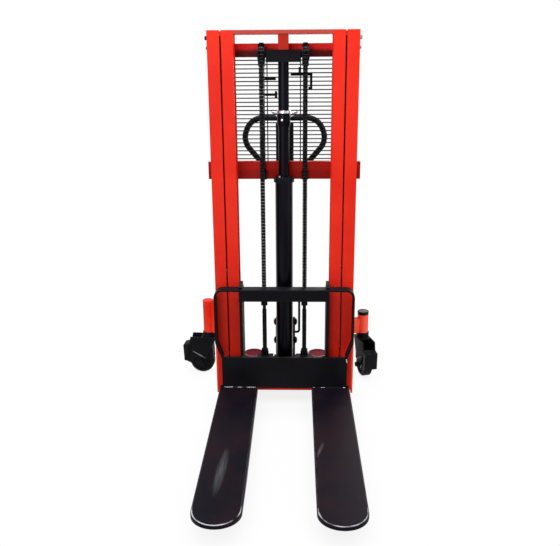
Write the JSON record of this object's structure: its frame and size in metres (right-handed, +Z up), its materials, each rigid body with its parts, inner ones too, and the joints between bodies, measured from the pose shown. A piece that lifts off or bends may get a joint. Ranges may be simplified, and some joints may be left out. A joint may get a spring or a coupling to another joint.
{
  "type": "hand pallet stacker",
  "caption": "Hand-pumped pallet stacker: a telescopic channel mast with chain-lifted forks, straddle legs, pump tiller, wire guard and swivel casters.",
  "frame": {"origin": "on the floor, in the middle of the footprint", "axes": "+Z up, forks toward -Y, operator side toward +Y, +X to the right seen from the fork side"},
  "size_m": [0.8995, 1.2854, 1.515],
  "materials": {
    "red_paint": "gloss red-orange powder coat",
    "black_paint": "gloss black paint",
    "chain_steel": "oiled dark steel",
    "bright_steel": "machined steel",
    "nylon": "moulded black nylon",
    "wheel_tread": "cast black polyurethane",
    "chrome": "plated"
  },
  "bodies": {
    "chassis": {"outer_column_left": "red_paint", "outer_column_right": "red_paint", "top_beam": "red_paint", "mid_beam": "red_paint", "base_beam": "red_paint", "rear_base_plate": "red_paint", "base_caps": "red_paint", "straddle_leg_left": "red_paint", "straddle_leg_right": "red_paint", "load_axles": "bright_steel", "caster_bracket_left": "red_paint", "caster_bracket_right": "red_paint", "stem_cap": "nylon", "cylinder_barrel": "black_paint", "cylinder_gland": "black_paint", "hand_pump": "black_paint", "tiller_lugs": "black_paint", "tiller_pins": "bright_steel", "guard_mesh": "black_paint", "release_guide": "black_paint", "chain_rear_left": "chain_steel", "chain_rear_right": "chain_steel", "chain_anchors_rear": "chain_steel", "mast_guide_pads": "nylon"},
    "inner_mast": {"inner_column_left": "red_paint", "inner_column_right": "red_paint", "mast_top_plate": "red_paint", "mast_lower_tie": "red_paint", "crosshead": "black_paint", "piston_rod": "black_paint", "chain_wraps": "chain_steel"},
    "carriage": {"carriage_upright_left": "black_paint", "carriage_upright_right": "black_paint", "carriage_hoop": "black_paint", "cross_plate": "black_paint", "fork_plate": "black_paint", "fork_left": "black_paint", "fork_right": "black_paint", "anchor_shelf": "black_paint", "chain_anchor_rods": "chain_steel", "chain_front_left": "chain_steel", "chain_front_right": "chain_steel"},
    "mast_rollers_low": {"mast_rollers_low": "bright_steel"},
    "mast_rollers_high": {"mast_rollers_high": "bright_steel"},
    "carriage_rollers_low": {"carriage_rollers_low": "bright_steel"},
    "carriage_rollers_high": {"carriage_rollers_high": "bright_steel"},
    "tiller": {"tiller_shaft": "black_paint", "tiller_loop": "black_paint"},
    "control_lever": {"control_lever": "chrome"},
    "release": {"release_rod": "black_paint"},
    "sheave_left": {"chain_sheave_left": "black_paint"},
    "load_wheel_left": {"load_wheel_left": "wheel_tread"},
    "caster_left": {"caster_yoke_left": "black_paint"},
    "caster_wheel_left": {"caster_wheel_left": "wheel_tread"},
    "brake_left": {"brake_pedal_left": "black_paint"},
    "sheave_right": {"chain_sheave_right": "black_paint"},
    "load_wheel_right": {"load_wheel_right": "wheel_tread"},
    "caster_right": {"caster_yoke_right": "black_paint"},
    "caster_wheel_right": {"caster_wheel_right": "wheel_tread"},
    "brake_right": {"brake_pedal_right": "black_paint"}
  },
  "joints": [
    {"name": "mast_lift", "type": "slide", "parent": "chassis", "child": "inner_mast", "axis": [0, 0, 1], "range_m": [0, 0.78], "deforming": ["chain_rear_left", "chain_rear_right"]},
    {"name": "carriage_lift", "type": "slide", "parent": "inner_mast", "child": "carriage", "axis": [0, 0, 1], "range_m": [0, 0.78], "deforming": ["chain_front_left", "chain_front_right"]},
    {"name": "mast_rollers_low_turn", "type": "hinge", "parent": "inner_mast", "child": "mast_rollers_low", "pos_m": [0.031, 0.345, 0.2], "axis": [1, 0, 0], "range_deg": [-1219.2, 0]},
    {"name": "mast_rollers_high_turn", "type": "hinge", "parent": "inner_mast", "child": "mast_rollers_high", "pos_m": [0.031, 0.345, 0.56], "axis": [1, 0, 0], "range_deg": [0, 1219.2]},
    {"name": "carriage_rollers_low_turn", "type": "hinge", "parent": "carriage", "child": "carriage_rollers_low", "pos_m": [0.031, 0.345, 0.17], "axis": [1, 0, 0], "range_deg": [-1236, 0]},
    {"name": "carriage_rollers_high_turn", "type": "hinge", "parent": "carriage", "child": "carriage_rollers_high", "pos_m": [0.031, 0.345, 0.48], "axis": [1, 0, 0], "range_deg": [0, 1236]},
    {"name": "sheave_left_turn", "type": "hinge", "parent": "inner_mast", "child": "sheave_left", "pos_m": [-0.052, 0.342, 1.427], "axis": [1, 0, 0], "range_deg": [-1118.8, 0]},
    {"name": "sheave_right_turn", "type": "hinge", "parent": "inner_mast", "child": "sheave_right", "pos_m": [0.114, 0.342, 1.427], "axis": [1, 0, 0], "range_deg": [-1118.8, 0]},
    {"name": "tiller_pump", "type": "hinge", "parent": "chassis", "child": "tiller", "pos_m": [0.031, 0.55, 0.27], "axis": [-1, 0, 0], "range_deg": [0, 60], "stiffness_Nm_per_rad": 60, "springref_deg": -17.19},
    {"name": "control_lever_rock", "type": "hinge", "parent": "tiller", "child": "control_lever", "pos_m": [0.031, 0.524, 1.15], "axis": [-1, 0, 0], "range_deg": [-15, 10]},
    {"name": "release_pull", "type": "slide", "parent": "chassis", "child": "release", "axis": [0, 0, 1], "range_m": [0, 0.012], "stiffness_N_per_m": 300, "springref_m": -0.01},
    {"name": "caster_left_swivel", "type": "hinge", "parent": "chassis", "child": "caster_left", "pos_m": [-0.327, 0.6, 0.203], "axis": [0, 0, 1], "continuous": true},
    {"name": "caster_wheel_left_spin", "type": "hinge", "parent": "caster_left", "child": "caster_wheel_left", "pos_m": [-0.36187, 0.60305, 0.056], "axis": [-0.0872, -0.9962, 0], "continuous": true},
    {"name": "brake_left_press", "type": "hinge", "parent": "caster_left", "child": "brake_left", "pos_m": [-0.41168, 0.60741, 0.134], "axis": [-0.0872, -0.9962, 0], "range_deg": [0, 8]},
    {"name": "load_wheel_left_spin", "type": "hinge", "parent": "chassis", "child": "load_wheel_left", "pos_m": [-0.164, -0.507, 0.036], "axis": [1, 0, 0], "continuous": true},
    {"name": "caster_right_swivel", "type": "hinge", "parent": "chassis", "child": "caster_right", "pos_m": [0.389, 0.6, 0.203], "axis": [0, 0, 1], "continuous": true},
    {"name": "caster_wheel_right_spin", "type": "hinge", "parent": "caster_right", "child": "caster_wheel_right", "pos_m": [0.39806, 0.56619, 0.056], "axis": [0.9659, 0.2588, 0], "continuous": true},
    {"name": "brake_right_press", "type": "hinge", "parent": "caster_right", "child": "brake_right", "pos_m": [0.411, 0.5179, 0.134], "axis": [0.9659, 0.2588, 0], "range_deg": [0, 8]},
    {"name": "load_wheel_right_spin", "type": "hinge", "parent": "chassis", "child": "load_wheel_right", "pos_m": [0.226, -0.507, 0.036], "axis": [1, 0, 0], "continuous": true}
  ],
  "couplings": [
    {"joint": "carriage_lift", "follows": "mast_lift", "ratio": 1},
    {"joint": "mast_rollers_low_turn", "follows": "mast_lift", "rad_per_m": -27.248},
    {"joint": "mast_rollers_high_turn", "follows": "mast_lift", "rad_per_m": 27.248},
    {"joint": "carriage_rollers_low_turn", "follows": "mast_lift", "rad_per_m": -27.624},
    {"joint": "carriage_rollers_high_turn", "follows": "mast_lift", "rad_per_m": 27.624},
    {"joint": "sheave_left_turn", "follows": "mast_lift", "rad_per_m": -25},
    {"joint": "sheave_right_turn", "follows": "mast_lift", "rad_per_m": -25}
  ]
}
